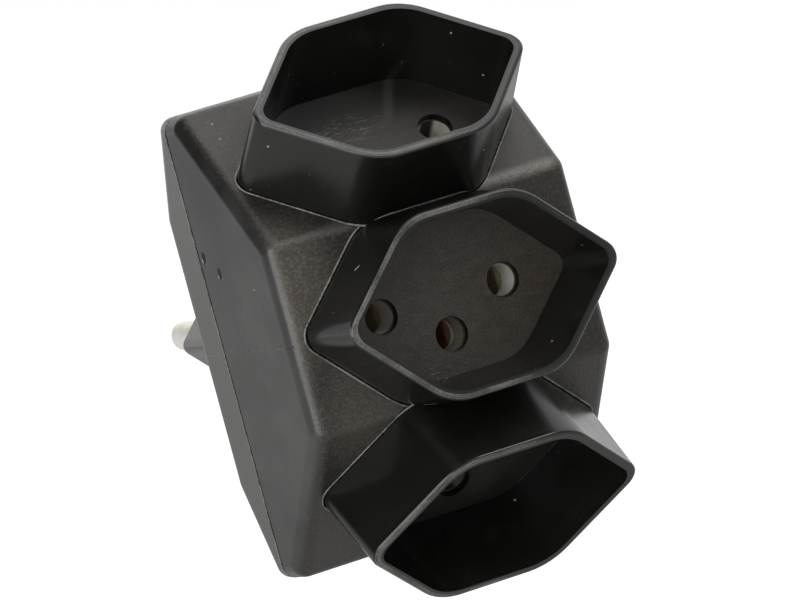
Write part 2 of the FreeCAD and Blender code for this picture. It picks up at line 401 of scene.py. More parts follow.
@dataclass(frozen=True)
class HousingFinish:
    """Black moulding: spark-textured facets, smoother grey sides, a parting line and small pits, with a
    painted highlight on the middle facet's left and along the fold above it, and a painted sheen round the
    sides' middle.
    """

    dark: Colour = (0.0085, 0.0069, 0.0055)
    light: Colour = (0.0190, 0.0156, 0.0128)
    spark: Colour = (0.0900, 0.0750, 0.0620)
    # Colour of the painted highlight on the fold and on the middle facet.
    painted_highlight: Colour = (0.1450, 0.1280, 0.1110)
    side: Colour = (0.0145, 0.0147, 0.0143)
    side_light: Colour = (0.0635, 0.0640, 0.0624)
    cover: Colour = (0.0880, 0.0885, 0.0865)
    dust: Colour = (0.26, 0.255, 0.24)
    pit: Colour = (0.001, 0.001, 0.001)

    cloud: Noise = Noise(0.085, 3.0, 0.55)
    cloud_band: Ramp = Ramp(0.35, 0.65)
    coarse: Noise = Noise(2.1, 3.0, 0.7)
    fine: Noise = Noise(5.04, 2.0, 0.6)
    fine_share: float = 0.4
    spark_band: Ramp = Ramp(0.49, 0.62)
    spark_share: float = 0.33
    grain_depth: float = 0.13
    rub: Noise = Noise(0.9, 4.0, 0.6, (0.5, 0.5, 3.0), (0.4, 0.2, 0.3))
    rub_band: Ramp = Ramp(0.60, 0.78)
    rub_share: float = 0.3

    side_turn: Ramp = Ramp(0.45, 0.90)
    side_middle: float = -6.0
    # Painted sheen: the side faces are lighter round their middle, fading out 30 mm away.
    side_painted_sheen: Ramp = Ramp(30.0, 6.0, 0.0, 0.585)
    side_cloud: float = 0.27
    side_rub: float = 0.18
    side_spark_loss: float = 0.75
    side_grain_loss: float = 0.9
    seam_blur: float = 0.05

    facet_rough: Ramp = Ramp(0.3, 0.7, 0.19, 0.29)
    facet_rough_grain: float = 0.24
    side_rough: Ramp = Ramp(0.3, 0.7, 0.178, 0.238)
    side_rough_rub: float = 0.04

    line_height: float = -0.35
    line_width: Ramp = Ramp(0.13, 0.03)
    line_reach: Ramp = Ramp(22.6, 23.0)
    line_noise: Noise = Noise(0.35, 2.0, 0.5)
    line_breaks: Ramp = Ramp(0.42, 0.58)
    line_depth: float = 0.3
    line_rough: float = 0.15

    pits: Flecks = Flecks(((-23.58, -26.1, 13.0), (-23.54, -29.66, 10.6)), 0.78, 0.468, (0.3, 1.35, 0.75))
    pit_rims: Flecks = Flecks(
        ((-23.58, -25.48, 12.55), (-23.54, -29.04, 10.15)), 0.26, 0.156, (0.3, 1.35, 0.75)
    )
    pit_rough: float = 0.5

    # Painted highlight: these ramps and patches lay a pale warm colour on the grain along the fold and
    # over two patches on the middle facet's left, standing in for light from the left and from above.
    fold_width: Ramp = Ramp(1.3, 0.2)
    fold_front: Ramp = Ramp(-43.0, -44.5)
    fold_left: Ramp = Ramp(2.0, 9.0, 0.42, 1.0)
    fold_right: Ramp = Ramp(22.6, 20.4, 0.35, 1.0)
    painted_highlight_band: Ramp = Ramp(0.40, 0.60, 0.55, 1.0)
    painted_highlight_patches: tuple[Patch, ...] = (
        Patch((-20.2, -45.2, 5.5), 9.5, 1.5, 0.52, (1.0, 1.0, 0.55)),
        Patch((-15.5, -45.2, -11.0), 9.5, 1.5, 0.38, (1.0, 1.0, 0.55)),
    )

    specks: Specks = Specks(0.42, 0.045, 0.05)
    speck_share: float = 0.6
    flecks: Flecks = Flecks((
        (-19.01, -29.9, 30.25), (-19.34, -31.82, 28.13), (-23.44, -38.61, 7.93), (16.2, -41.0, 18.3),
    ), 0.24, 0.12)

    def line(self, spot: Link) -> Link:
        """Adds the fine broken parting line along both sides.

        Args:
            spot: place on the object.

        Returns:
            1 on the line.
        """
        thin = self.line_width.of(abs(spot.part("Z") - self.line_height))
        outer = self.line_reach.of(abs(spot.part("X")))
        return thin * outer * self.line_breaks.of(self.line_noise.on(spot))

    def rim_wear_and_painted_facet_sheen(self, spot: Link, texture: Link) -> Link:
        """Adds the painted highlight on the middle facet's left and along the fold above it.

        Args:
            spot: place on the object.
            texture: height of the moulded grain.

        Returns:
            Share of the painted highlight.
        """
        across, depth, level = (spot.part(axis) for axis in "XYZ")
        fold = self.fold_width.of(abs(level - LINES.fold_height)) * self.fold_front.of(depth)
        fold = fold * self.fold_left.of(across) * self.fold_right.of(across)
        return any_of([fold, *(patch.on(spot) for patch in self.painted_highlight_patches)]) * self.painted_highlight_band.of(texture)

    def sides(self, spot: Link, cloud: Link, rub: Link) -> Link:
        """Colours the side faces, with a painted sheen that makes them lighter round their middle, and
        lighter behind the seam.

        Args:
            spot: place on the object.
            cloud: broad noise.
            rub: rubbed streaks.

        Returns:
            The grey.
        """
        # Painted sheen round the middle, with cloudy and streaky tone on top.
        lighter = self.side_painted_sheen.of(abs(spot.part("Z") - self.side_middle))
        lighter = lighter + self.cloud_band.of(cloud) * self.side_cloud + rub * self.side_rub
        front = spot.shader.mix(lighter, self.side, self.side_light)
        behind = Ramp(LINES.seam - self.seam_blur, LINES.seam + self.seam_blur)
        return spot.shader.mix(behind.of(spot.part("Y")), front, self.cover)

    def material(self) -> bpy.types.Material:
        """Builds the finish.

        Returns:
            The material.
        """
        made, shader = new_material("housing black")
        spot = shader.place()
        side = self.side_turn.of(abs(shader.facing().part("X")))
        cloud = self.cloud.on(spot)
        coarse = self.coarse.on(spot)
        texture = coarse * (1 - self.fine_share) + self.fine.on(spot) * self.fine_share
        sparks = self.spark_band.of(texture) * (1 - side * self.side_spark_loss)
        rub = self.rub_band.of(self.rub.on(spot))
        line = self.line(spot)
        pits = self.pits.on(spot)
        pale = self.specks.on(spot).at_least(self.flecks.on(spot)) * self.speck_share

        facets = shader.mix(cloud * (1 - self.rub_share) + rub * self.rub_share, self.dark, self.light)
        facets = shader.mix(sparks * self.spark_share, facets, self.spark)
        # Painted highlight on the fold and the middle facet's left.
        facets = shader.mix(self.rim_wear_and_painted_facet_sheen(spot, texture), facets, self.painted_highlight)
        colour = shader.mix(side, facets, self.sides(spot, cloud, rub))
        colour = shader.mix(pale.at_least(self.pit_rims.on(spot)), colour, self.dust)
        colour = shader.mix((line * self.line_depth).at_least(pits), colour, self.pit)

        facet_rough = self.facet_rough.of(cloud) + coarse * self.facet_rough_grain
        side_rough = self.side_rough.of(cloud) + rub * self.side_rough_rub
        rough = facet_rough + (side_rough - facet_rough) * side
        rough = rough + (line * self.line_rough).at_least(pits * self.pit_rough)
        height = texture * (1 - side * self.side_grain_loss) - (line * self.line_depth).at_least(pits)
        normal = shader.bump(height, self.grain_depth)
        shader.surface(Base_Color=colour, Roughness=rough, Normal=normal, IOR=PLASTIC_IOR)
        return made


@dataclass(frozen=True)
class SocketFinish:
    """Smooth black collars with matte, finely textured recess floors, painted shade in the outer recesses
    and painted highlights in the top and bottom recesses.
    """

    wall: Colour = (0.0036, 0.0040, 0.0033)
    wall_light: Colour = (0.0066, 0.0070, 0.0059)
    floor: Colour = (0.0130, 0.0107, 0.0087)
    floor_light: Colour = (0.0680, 0.0555, 0.0440)
    dust: Colour = (0.30, 0.30, 0.28)
    gleam: Colour = (0.040, 0.0375, 0.0340)

    floor_reach: Ramp = Ramp(19.75, 19.65)
    floor_half_height: Ramp = Ramp(10.6, 10.5)
    floor_level: Ramp = Ramp(0.09, 0.05)
    cloud: Noise = Noise(0.13, 3.0, 0.6)
    swirl: Noise = Noise(1.1, 4.0, 0.65, (0.35, 1.0, 0.8), (0.0, 0.5, 0.2))
    grain: Noise = Noise(4.6, 4.0, 0.75)
    grain_band: Ramp = Ramp(0.38, 0.64)
    swirl_share: float = 0.2
    peel: Noise = Noise(0.9, 2.0, 0.5)
    # Painted shade: less pale grain on the outer recesses' floors, and darker towards their rear.
    open_to_light: Ramp = Ramp(15.0, 11.0, 0.45, 1.25)
    top_shade: Ramp = Ramp(23.2, 26.2, 0.0, 0.86)
    bottom_shade: Ramp = Ramp(-15.0, -17.0, 0.0, 0.85)

    wall_rough: Ramp = Ramp(0.3, 0.7, 0.17, 0.25)
    wall_rough_swirl: float = 0.06
    floor_rough: float = 0.23
    floor_rough_grain: float = 0.3
    floor_rough_swirl: float = 0.16
    dust_rough: float = 0.4
    scratch_rough: float = 0.2
    peel_height: float = 0.10
    grain_height: float = 1.4
    dust_height: float = 0.2
    bump_depth: float = 0.03

    # Painted highlight: a pale stripe down the top recess and a pale patch on the bottom recess's floor.
    stripe_place: tuple[float, float] = (7.33, 28.65)
    stripe_lean: float = 0.76
    stripe_width: Ramp = Ramp(1.3, 0.2)
    stripe_low: Ramp = Ramp(23.4, 25.0)
    stripe_high: Ramp = Ramp(32.5, 29.0)
    stripe_rear: Ramp = Ramp(-38.0, -36.5)
    painted_gleam_patch: Patch = Patch((4.8, -33.4, -26.2), 4.2, 0.6, 0.6)
    gleam_share: float = 0.35

    specks: Specks = Specks(0.34, 0.16, 0.04)
    dust_share: float = 0.9
    scratches: Noise = Noise(0.55, 3.0, 0.6, (5.0, 0.9, 0.9), (0.5, 0.3, 0.6))
    scratch_band: Ramp = Ramp(0.735, 0.775)
    scratch_share: float = 0.35
    nick: tuple[Place, Place] = ((-14.39, -51.01, 7.46), (-13.75, -51.93, 8.06))
    nick_width: Ramp = Ramp(0.22, 0.10)
    nick_end: float = 0.1
    nick_core: float = 0.3
    scuffs: tuple[Patch, ...] = (
        Patch((-3.4, -46.4, -10.5), 3.4, 1.19), Patch((16.3, -42.5, -18.7), 4.2, 1.47, 0.7),
    )
    strands: Noise = Noise(1.9, 2.0, 0.6, (0.35, 2.2, 2.2), (0.0, 0.35, 0.5))
    strand_band: Ramp = Ramp(0.60, 0.66)
    hatched: Patch = Patch((-2.4, -34.9, 24.5), 3.6, 1.4, 0.42, (0.5, 1.0, 1.0))
    hatch: Noise = Noise(1.5, 2.0, 0.6, (0.4, 3.4, 3.4), (0.0, 0.0, 0.06))
    hatch_band: Ramp = Ramp(0.54, 0.68)
    flecks: Flecks = Flecks((
        (-19.37, -45.85, 26.19), (13.6, -41.08, 33.54), (17.44, -39.51, 26.78), (8.68, -51.32, 17.85),
        (17.81, -54.09, 2.05), (10.58, -52.45, -9.21), (9.09, -32.3, -30.51), (14.61, -43.04, -16.85),
    ), 0.22, 0.11)

    def floor_mask(self, spot: Link, tilt: Tilt) -> Link:
        """Finds one socket's recess floor.

        Args:
            spot: place on the object.
            tilt: which socket.

        Returns:
            1 on the floor.
        """
        away = spot.minus(LINES.floor_middle(tilt))
        side = abs(away.dot(LINES.upward(tilt)))
        inside = self.floor_half_height.of(side) * self.floor_reach.of(abs(away.dot(ACROSS)) + side)
        return self.floor_level.of(abs(away.dot(LINES.facing(tilt)))) * inside

    def ground(self, spot: Link, grain: Link, swirl: Link) -> Link:
        """Colours the floors, with painted shade: less pale grain in the outer recesses, and darker
        towards the rear of the outer recesses.

        Args:
            spot: place on the object.
            grain: fine noise.
            swirl: streaky noise.

        Returns:
            The colour.
        """
        shader, level = spot.shader, spot.part("Z")
        light = self.grain_band.of(grain * (1 - self.swirl_share) + swirl * self.swirl_share)
        # Painted shade: less pale grain in the outer recesses.
        light = light * self.open_to_light.of(abs(level))
        # Painted shade towards the rear of the outer recesses.
        shade = self.top_shade.of(level).at_least(self.bottom_shade.of(level))
        return shader.mix(shade, shader.mix(light, self.floor, self.floor_light), self.wall)

    def painted_gleam_mask(self, spot: Link) -> Link:
        """Adds the painted highlights: a pale stripe down the top recess and a pale patch in the bottom
        one.

        Args:
            spot: place on the object.

        Returns:
            Share of the gleam.
        """
        across, depth, level = (spot.part(axis) for axis in "XYZ")
        foot, height = self.stripe_place
        stripe = self.stripe_width.of(abs(across - foot - (level - height) * self.stripe_lean))
        stripe = stripe * self.stripe_low.of(level) * self.stripe_high.of(level)
        return (stripe * self.stripe_rear.of(depth)).at_least(self.painted_gleam_patch.on(spot))

    def nicked(self, spot: Link) -> Link:
        """Adds the short white nick on the middle collar.

        Args:
            spot: place on the object.

        Returns:
            1 on the nick.
        """
        start, end = (Vector(place) for place in self.nick)
        run = (end - start).normalized()
        away = spot.minus((start + end) / 2)
        along = away.dot(run)
        off = away.minus(spot.shader.vector("SCALE", run, Scale=along)).length()
        reach = Ramp((end - start).length / 2 + self.nick_end, self.nick_core)
        return self.nick_width.of(off) * reach.of(abs(along))

    def worn(self, spot: Link) -> Link:
        """Gathers the nick, the fine scuffs and the flecks.

        Args:
            spot: place on the object.

        Returns:
            Share of the pale wear.
        """
        strands = self.strand_band.of(self.strands.on(spot))
        scuffs = any_of(patch.on(spot) for patch in self.scuffs) * strands
        hatch = self.hatched.on(spot) * self.hatch_band.of(self.hatch.on(spot))
        return any_of([self.nicked(spot), scuffs, hatch, self.flecks.on(spot)])

    def material(self) -> bpy.types.Material:
        """Builds the finish.

        Returns:
            The material.
        """
        made, shader = new_material("socket black")
        spot = shader.place()
        floor = any_of(self.floor_mask(spot, tilt) for tilt in Tilt)
        cloud = self.cloud.on(spot)
        swirl = self.swirl.on(spot)
        grain = self.grain.on(spot)
        dust = self.specks.on(spot)
        scratch = self.scratch_band.of(self.scratches.on(spot))
        pale = any_of([dust, scratch * self.scratch_share, self.worn(spot)]) * self.dust_share

        colour = shader.mix(cloud, self.wall, self.wall_light)
        colour = shader.mix(floor, colour, self.ground(spot, grain, swirl))
        # Painted highlights in the top and bottom recesses.
        colour = shader.mix(self.painted_gleam_mask(spot) * (floor + 1) * self.gleam_share, colour, self.gleam)
        colour = shader.mix(pale, colour, self.dust)

        wall_rough = self.wall_rough.of(cloud) + swirl * self.wall_rough_swirl
        wall_rough = wall_rough + dust * self.dust_rough + scratch * self.scratch_rough
        floor_rough = grain * self.floor_rough_grain + swirl * self.floor_rough_swirl + self.floor_rough
        rough = wall_rough + (floor_rough - wall_rough) * floor
        height = self.peel.on(spot) * (1 - floor) * self.peel_height
        height = height + grain * floor * self.grain_height + dust * self.dust_height
        normal = shader.bump(height, self.bump_depth)
        shader.surface(Base_Color=colour, Roughness=rough, Normal=normal, IOR=PLASTIC_IOR)
        return made


@dataclass(frozen=True)
class PaintedEdgeHighlightFinish:
    """Sharp moulded edge with a painted highlight: a grainy pale grey that stands in for the light the
    edge catches.
    """

    dark: Colour = (0.045, 0.043, 0.039)
    pale: Colour = (0.23, 0.225, 0.21)
    rim_wear_and_painted_edge_sheen: Noise = Noise(0.22, 4.0, 0.65)
    fine: Noise = Noise(2.6, 3.0, 0.6)
    fine_share: float = 0.45
    rim_wear_and_painted_edge_sheen_band: Ramp = Ramp(0.38, 0.60)
    rough: float = 0.32
    fine_rough: float = 0.2
    bump_depth: float = 0.03

    def material(self) -> bpy.types.Material:
        """Builds the finish.

        Returns:
            The material.
        """
        made, shader = new_material("painted edge highlight")
        spot = shader.place()
        fine = self.fine.on(spot)
        # Painted highlight, broken up by noise.
        rim_wear_and_painted_edge_sheen = self.rim_wear_and_painted_edge_sheen_band.of(self.rim_wear_and_painted_edge_sheen.on(spot) * (1 - self.fine_share) + fine * self.fine_share)
        colour = shader.mix(rim_wear_and_painted_edge_sheen, self.dark, self.pale)
        rough = fine * self.fine_rough + self.rough
        normal = shader.bump(fine, self.bump_depth)
        shader.surface(Base_Color=colour, Roughness=rough, Normal=normal, IOR=PLASTIC_IOR)
        return made


@dataclass(frozen=True)
class RimFinish:
    """Collar black whose rounded rim is rubbed to a grainy grey in patches, a grey that is paler towards
    the left.
    """

    tilt: Tilt
    wall: Colour = (0.0045, 0.0049, 0.0041)
    rim_wear_and_painted_facet_sheen: Colour = (0.0045, 0.0044, 0.0040)
    pale: Colour = (0.130, 0.126, 0.115)
    rim: Ramp = Ramp(12.66, 12.80)
    rim_wear_and_painted_edge_sheen: Noise = Noise(0.16, 3.0, 0.6)
    rim_wear_and_painted_edge_sheen_band: Ramp = Ramp(0.30, 0.60, 0.35, 1.0)
    left_paling: Ramp = Ramp(7.0, -2.0, 0.10, 1.0)
    grain: Noise = Noise(3.2, 4.0, 0.75)
    grain_band: Ramp = Ramp(0.34, 0.62, 0.35, 1.0)
    wall_rough: float = 0.20
    rim_rough: float = -0.06
    wear_rough: float = 0.22
    grain_rough: float = 0.12
    least_grain: float = 0.3
    bump_depth: float = 0.06

    def material(self) -> bpy.types.Material:
        """Builds the finish for one collar.

        Returns:
            The material.
        """
        made, shader = new_material(f"{self.tilt.name.lower()} rim grey")
        spot = shader.place()
        above_floor = spot.minus(LINES.floor_middle(self.tilt)).dot(LINES.facing(self.tilt))
        rim = self.rim.of(above_floor)
        # The grey grows paler towards the left.
        rim_wear_and_painted_edge_sheen = self.rim_wear_and_painted_edge_sheen_band.of(self.rim_wear_and_painted_edge_sheen.on(spot)) * self.left_paling.of(spot.part("X"))
        grain = self.grain.on(spot)
        grey = shader.mix(self.grain_band.of(grain) * rim_wear_and_painted_edge_sheen, self.rim_wear_and_painted_facet_sheen, self.pale)
        colour = shader.mix(rim, self.wall, grey)
        rougher = rim_wear_and_painted_edge_sheen * self.wear_rough + grain * self.grain_rough + self.rim_rough
        rough = rim * rougher + self.wall_rough
        height = grain * rim * (rim_wear_and_painted_edge_sheen * (1 - self.least_grain) + self.least_grain)
        normal = shader.bump(height, self.bump_depth)
        shader.surface(Base_Color=colour, Roughness=rough, Normal=normal, IOR=PLASTIC_IOR)
        return made


@dataclass(frozen=True)
class NickelFinish:
    """Matte nickel plating, with painted shade, dark and not metallic, on the rings' front faces."""

    bright: Colour = (0.88, 0.86, 0.80)
    dull: Colour = (0.70, 0.67, 0.58)
    olive: Colour = (0.30, 0.30, 0.235)
    # Colour of the painted shade on the rings' front faces.
    front_painted_shade: Colour = (0.030, 0.029, 0.026)
    metallic: float = 0.55
    cloud: Noise = Noise(0.5, 4.0, 0.6)
    cloud_band: Ramp = Ramp(0.35, 0.75)
    lines: Noise = Noise(1.4, 3.0, 0.6, (6.0, 0.6, 6.0))
    rough: float = 0.36
    line_rough: float = 0.18
    cloud_rough: float = 0.14
    bump_depth: float = 0.004
    ring_end: Ramp = Ramp(3.9, 4.15)
    ring_reach: Ramp = Ramp(13.0, 12.0)
    turned_front: Ramp = Ramp(0.80, 0.95)
    earth_middle: Ramp = Ramp(5.0, 3.5)
    earth_front: Ramp = Ramp(-8.0, -12.0)

    def deep(self, spot: Link, tilt: Tilt) -> Link:
        """1 on the bright inner rims of one socket's rings, where they end below the recess floor."""
        away = spot.minus(LINES.floor_middle(tilt))
        return self.ring_end.of(away.dot(-LINES.facing(tilt))) * self.ring_reach.of(away.length())

    def material(self) -> bpy.types.Material:
        """Builds the finish.

        Returns:
            The material.
        """
        made, shader = new_material("nickel")
        spot, facing = shader.place(), shader.facing()
        # Painted shade on the rings' front faces.
        shaded_fronts = any_of(self.turned_front.of(facing.dot(LINES.facing(tilt))) for tilt in Tilt)
        deep = any_of(self.deep(spot, tilt) for tilt in Tilt)
        earth = self.earth_middle.of(abs(spot.part("X"))) * self.earth_front.of(spot.part("Y"))
        cloud = self.cloud.on(spot)
        lines = self.lines.on(spot)
        colour = shader.mix(self.cloud_band.of(cloud), self.bright, self.dull)
        colour = shader.mix(earth * (1 - deep), colour, self.olive)
        colour = shader.mix(shaded_fronts, colour, self.front_painted_shade)
        rough = lines * self.line_rough + cloud * self.cloud_rough + self.rough
        metallic = (1 - shaded_fronts) * self.metallic
        normal = shader.bump(lines, self.bump_depth)
        shader.surface(Base_Color=colour, Metallic=metallic, Roughness=rough, Normal=normal)
        return made


@dataclass(frozen=True)
class BrassFinish:
    """Bare brass strip, browned in places and red round the earth contacts."""

    bright: Colour = (0.76, 0.68, 0.50)
    brown: Colour = (0.52, 0.42, 0.29)
    red: Colour = (0.46, 0.20, 0.11)
    metallic: float = 0.6
    cloud: Noise = Noise(0.6, 5.0, 0.65)
    cloud_band: Ramp = Ramp(0.35, 0.7)
    lines: Noise = Noise(1.2, 3.0, 0.6, (5.0, 5.0, 0.8))
    earth_middle: Ramp = Ramp(5.0, 3.5, 0.0, 0.8)
    rough: float = 0.325
    line_rough: float = 0.2
    cloud_rough: float = 0.15
    bump_depth: float = 0.006

    def material(self) -> bpy.types.Material:
        """Builds the finish.

        Returns:
            The material.
        """
        made, shader = new_material("brass")
        spot = shader.place()
        cloud = self.cloud.on(spot)
        lines = self.lines.on(spot)
        colour = shader.mix(self.cloud_band.of(cloud), self.bright, self.brown)
        colour = shader.mix(self.earth_middle.of(abs(spot.part("X"))), colour, self.red)
        rough = lines * self.line_rough + cloud * self.cloud_rough + self.rough
        normal = shader.bump(lines, self.bump_depth)
        shader.surface(Base_Color=colour, Metallic=self.metallic, Roughness=rough, Normal=normal)
        return made


@dataclass
class Finishes:
    """The object's materials: by slot for the solids, and those of the edges and rims."""

    materials: dict[Slot, bpy.types.Material] = field(default_factory=dict)
    rims: dict[Tilt, bpy.types.Material] = field(default_factory=dict)
    painted_edge_highlight: Optional[bpy.types.Material] = None

    def build(self) -> None:
        """Makes each material."""
        self.painted_edge_highlight = PaintedEdgeHighlightFinish().material()
        for tilt in Tilt:
            self.rims[tilt] = RimFinish(tilt).material()
        self.materials[Slot.HOUSING] = HousingFinish().material()
        self.materials[Slot.SOCKET] = SocketFinish().material()
        self.materials[Slot.NICKEL] = NickelFinish().material()
        self.materials[Slot.BRASS] = BrassFinish().material()

    def dress_solids(self) -> None:
        """Gives each solid of the frame the material of its slot."""
        for part in frame["record"]["subparts"]:
            solid = frame["nodes"][part["node"]]
            solid.data.materials.clear()
            solid.data.materials.append(self.materials[Slot(part["material_slot"])])
            log.info("%s in %s", part["node"], part["material_slot"])


# Pieces


@dataclass(frozen=True)
class Hexagon:
    """Long hexagon with rounded corners, in millimetres.

    Attributes:
        reach: from the middle to the sharp end point.
        half_height: from the middle to a flat side.
        tip: radius at the two ends.
        shoulder: radius at the other four corners.
        steps: pieces of each rounding.
    """

    reach: float
    half_height: float
    tip: float
    shoulder: float
    steps: int = 9

    def outline(self) -> list[Vector]:
        """Draws the hexagon.

        Returns:
            Points in order, the same number for any size.
        """
        flat, tall = self.reach - self.half_height, self.half_height
        upper = [Vector((self.reach, 0.0)), Vector((flat, tall)), Vector((-flat, tall))]
        corners = upper + [-corner for corner in upper]
        points = []
        for place, corner in enumerate(corners):
            radius = self.tip if place % 3 == 0 else self.shoulder
            back = (corners[place - 1] - corner).normalized()
            ahead = (corners[(place + 1) % 6] - corner).normalized()
            half = back.angle(ahead) / 2
            middle = corner + (back + ahead).normalized() * (radius / math.sin(half))
            start = corner + back * (radius / math.tan(half)) - middle
            sweep = math.pi - 2 * half
            for step in range(self.steps + 1):
                points.append(middle + Matrix.Rotation(sweep * step / self.steps, 2) @ start)
        return points


def mesh_piece(
    name: str, rings: Sequence[Sequence[Vector]], closed: bool, material: bpy.types.Material
) -> bpy.types.Object:
    """Skin over a row of equal rings.

    Args:
        name: name of the piece.
        rings: rows of points in metres, each with the same number.
        closed: whether each row's last point joins its first.
        material: finish of the piece.

    Returns:
        The new object, smooth and riding on the body.
    """
    work = bmesh.new()
    rows = [[work.verts.new(point) for point in ring] for ring in rings]
    for row, following in zip(rows, rows[1:]):
        count = len(row) if closed else len(row) - 1
        for place in range(count):
            after = (place + 1) % len(row)
            work.faces.new((row[place], row[after], following[after], following[place]))
    bmesh.ops.recalc_face_normals(work, faces=work.faces)
    mesh = bpy.data.meshes.new(name)
    work.to_mesh(mesh)
    work.free()
    mesh.shade_smooth()
    mesh.materials.append(material)
    piece = bpy.data.objects.new(name, mesh)
    bpy.context.scene.collection.objects.link(piece)
    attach(piece, "root")
    log.info("%s", name)
    return piece


@dataclass(frozen=True)
class CollarLips:
    """Rounded lip round the rim of each collar."""

    outer: Hexagon = Hexagon(21.6, 12.8, 2.6, 8.6)
    inner: Hexagon = Hexagon(19.95, 11.6, 2.0, 7.6)
    height: float = 12.85
    radius: float = 0.5
    skirt: float = 0.9
    proud: float = 0.012
    outer_draft: float = 0.022
    steps: int = 8

    def section(self) -> list[tuple[bool, float, float]]:
        """Cross-section of the lip from its outer skirt to its inner one.

        Returns:
            For each point: whether it is on the outer wall, how far in from it, height.
        """
        angles = [math.pi / 2 * step / self.steps for step in range(self.steps + 1)]
        round_off = [(self.radius * (1 - math.cos(a)), -self.radius * (1 - math.sin(a))) for a in angles]
        points = [(True, -self.outer_draft * self.skirt, -self.skirt)]
        points += [(True, inward, drop) for inward, drop in round_off]
        points += [(False, inward, drop) for inward, drop in reversed(round_off)]
        points.append((False, 0.0, -self.skirt))
        return points

    def build(self, tilt: Tilt, material: bpy.types.Material) -> bpy.types.Object:
        """Makes one collar's lip.

        Args:
            tilt: which collar.
            material: its finish.

        Returns:
            The lip.
        """
        place = LINES.matrix(tilt)
        walls = list(zip(self.outer.outline(), self.inner.outline()))
        rings = []
        for is_outer, inward, drop in self.section():
            ring = []
            for outer, inner in walls:
                base, other = (outer, inner) if is_outer else (inner, outer)
                flat = base + (other - base).normalized() * (inward - self.proud)
                ring.append(place @ Vector((flat.x, flat.y, self.height + drop + self.proud)))
            rings.append(ring)
        return mesh_piece(f"{tilt.name.lower()}_collar_lip", rings, True, material)


@dataclass(frozen=True)
class Bead:
    """Fine round bead along a loop or an open line.

    Attributes:
        path: points along it, in millimetres.
        outward: at each point, the way out of the surface that carries the bead.
        radius: half of its width, in millimetres.
        closed: whether its last point joins its first.
        sides: flat faces round it.
    """

    path: Sequence[Vector]
    outward: Sequence[Vector]
    radius: float
    closed: bool = True
    sides: int = 8

    def build(self, name: str, material: bpy.types.Material) -> bpy.types.Object:
        """Makes the bead as a piece of the housing.

        Args:
            name: name of the piece.
            material: its finish.

        Returns:
            The new piece.
        """
        last = len(self.path) - 1
        rings = []
        for step in range(self.sides + 1):
            angle = 2 * math.pi * step / self.sides
            ring = []
            for place, (point, outward) in enumerate(zip(self.path, self.outward)):
                after = (place + 1) % len(self.path) if self.closed else min(place + 1, last)
                before = place - 1 if self.closed else max(place - 1, 0)
                ahead = (self.path[after] - self.path[before]).normalized()
                across = ahead.cross(outward).normalized()
                off = across * math.cos(angle) + outward * math.sin(angle)
                ring.append((point + off * self.radius) * MM)
            rings.append(ring)
        return mesh_piece(name, rings, self.closed, material)


@dataclass(frozen=True)
class OpeningEdges:
    """Sharp edge of the shell round each collar, a bead with a painted highlight."""

    hexagon: Hexagon = Hexagon(22.32, 13.3, 2.6, 8.6)
    level: float = 0.10
    radius: float = 0.15

    def build(self, tilt: Tilt, material: bpy.types.Material) -> bpy.types.Object:
        """Makes the edge of one opening.

        Args:
            tilt: which socket.
            material: its finish.

        Returns:
            The edge.
        """
        place = LINES.matrix(tilt)
        path = [place @ Vector((*point, self.level)) / MM for point in self.hexagon.outline()]
        outward = [LINES.facing(tilt)] * len(path)
        return Bead(path, outward, self.radius).build(f"{tilt.name.lower()}_opening_edge", material)


@dataclass(frozen=True)
class JunctionLine:
    """Painted highlight line in the crease where an outer collar runs into the middle one, in millimetres.

    Attributes:
        straight: half of the crease's straight run.
        end: half of its whole run.
        shoulder: radius of the outer collar's shoulder, which bends the crease.
        foot: depth and height of the outer collar's wall at its base.
        wall: depth and height gained by each millimetre up that wall.
        rise: how far up that wall the straight run lies.
        fall: how much lower the crease lies for each millimetre that the shoulder draws back.
        radius: half of the line's width.
        proud: share of the radius by which the line's middle stands out of the crease.
        steps: pieces of the line.
    """

    straight: float = 5.2
    end: float = 8.2
    shoulder: float = 8.6
    foot: tuple[float, float] = (-46.170, 12.023)
    wall: tuple[float, float] = (-0.727, 0.6867)
    rise: float = 1.479
    fall: float = 2.479
    radius: float = 0.062
    proud: float = 0.5
    steps: int = 40

    def point(self, across: float, tilt: Tilt) -> Vector:
        """One point of the crease.

        Args:
            across: its place along the crease.
            tilt: the outer collar.

        Returns:
            The point.
        """
        over = max(abs(across) - self.straight, 0.0)
        drawn_back = self.shoulder - math.sqrt(self.shoulder**2 - over**2)
        up = self.rise - self.fall * drawn_back
        depth, height = Vector(self.foot) + LINES.upward(Tilt.TOP).yz * drawn_back + Vector(self.wall) * up
        return Vector((across, depth, height * tilt.value))

    def build(self, tilt: Tilt, material: bpy.types.Material) -> bpy.types.Object:
        """Makes the line beside one outer collar.

        Args:
            tilt: the outer collar.
            material: its finish.

        Returns:
            The line.
        """
        out = (LINES.facing(tilt) + LINES.facing(Tilt.MIDDLE)).normalized()
        runs = [self.end * (2 * step / self.steps - 1) for step in range(self.steps + 1)]
        path = [self.point(across, tilt) + out * self.radius * self.proud for across in runs]
        bead = Bead(path, [out] * len(path), self.radius, closed=False)
        return bead.build(f"{tilt.name.lower()}_junction_line", material)


